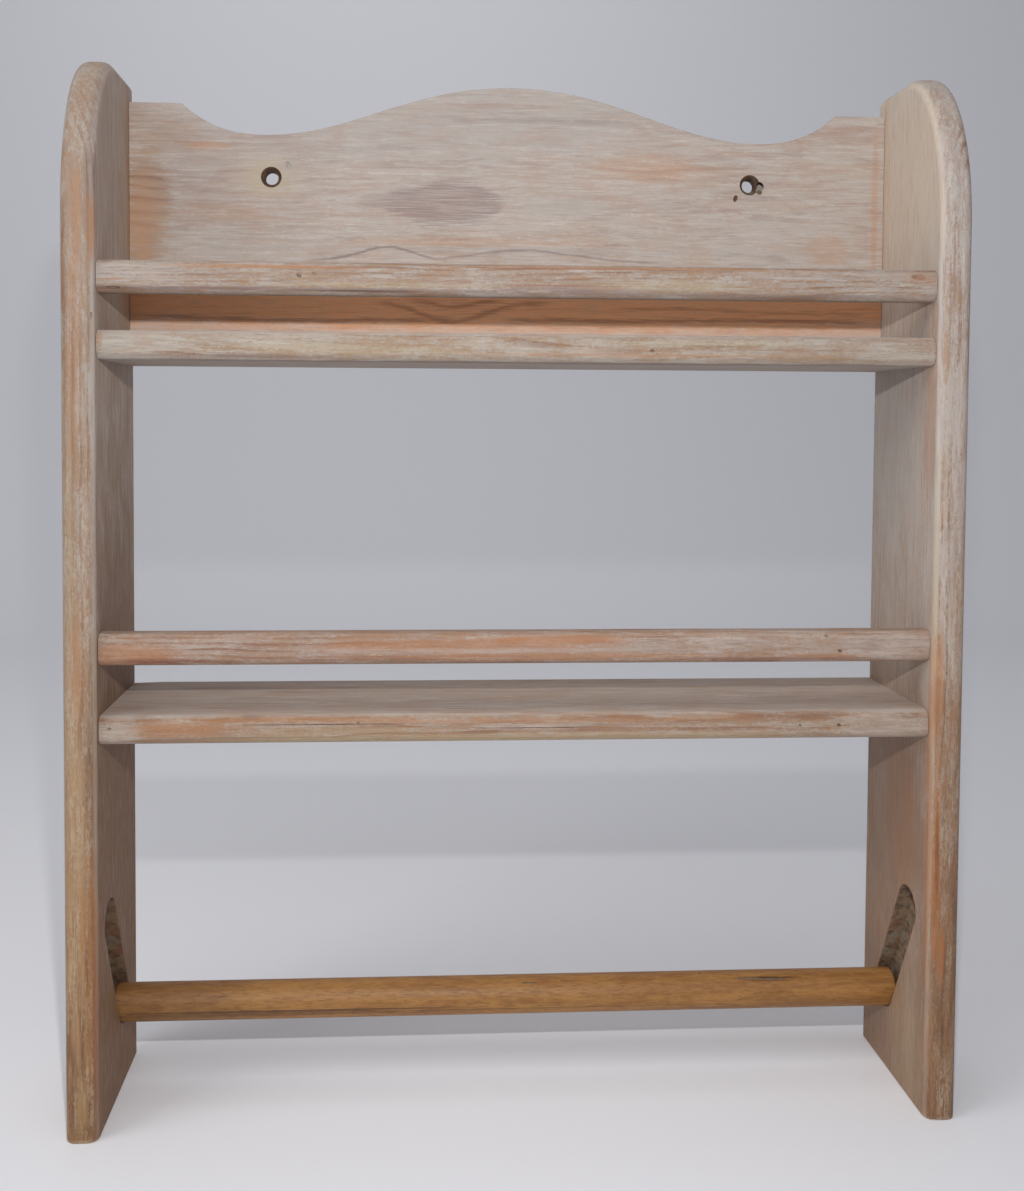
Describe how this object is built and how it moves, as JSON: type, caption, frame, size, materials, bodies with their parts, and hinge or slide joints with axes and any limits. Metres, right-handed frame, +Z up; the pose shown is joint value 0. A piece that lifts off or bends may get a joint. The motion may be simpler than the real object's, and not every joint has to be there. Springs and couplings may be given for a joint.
{
  "type": "wall rack",
  "caption": "Pine kitchen wall rack with two jar shelves, guard rails, a shaped back board and a loose kitchen-roll bar riding in slanted slots.",
  "frame": {"origin": "on the standing surface, under the middle of the rack's bounding box", "axes": "+X to the right as seen from the front, +Y towards the wall, +Z up; the front is -Y"},
  "size_m": [0.5, 0.095, 0.6],
  "materials": {
    "limed_pine": "limed and rubbed back, matt",
    "bare_hardwood": "planed and oiled, low sheen",
    "beech_pin": "dry, unfinished"
  },
  "bodies": {
    "rack": {"left_side_panel": "limed_pine", "right_side_panel": "limed_pine", "top_shelf": "limed_pine", "lower_shelf": "limed_pine", "top_guard_rail": "limed_pine", "lower_guard_rail": "limed_pine", "back_board": "limed_pine", "top_shelf_pin_left_1": "beech_pin", "top_shelf_pin_left_2": "beech_pin", "top_shelf_pin_right_1": "beech_pin", "top_shelf_pin_right_2": "beech_pin", "lower_shelf_pin_left_1": "beech_pin", "lower_shelf_pin_left_2": "beech_pin", "lower_shelf_pin_right_1": "beech_pin", "lower_shelf_pin_right_2": "beech_pin", "top_rail_pin_left_1": "beech_pin", "top_rail_pin_right_1": "beech_pin", "lower_rail_pin_left_1": "beech_pin", "lower_rail_pin_right_1": "beech_pin", "back_board_pin_left_1": "beech_pin", "back_board_pin_left_2": "beech_pin", "back_board_pin_right_1": "beech_pin", "back_board_pin_right_2": "beech_pin"},
    "roll_bar": {"kitchen_roll_bar": "bare_hardwood"}
  },
  "joints": [
    {"name": "roll_bar_lift", "type": "slide", "parent": "rack", "child": "roll_bar", "axis": [0, -0.4529, 0.8915], "range_m": [0, 0.07]}
  ]
}
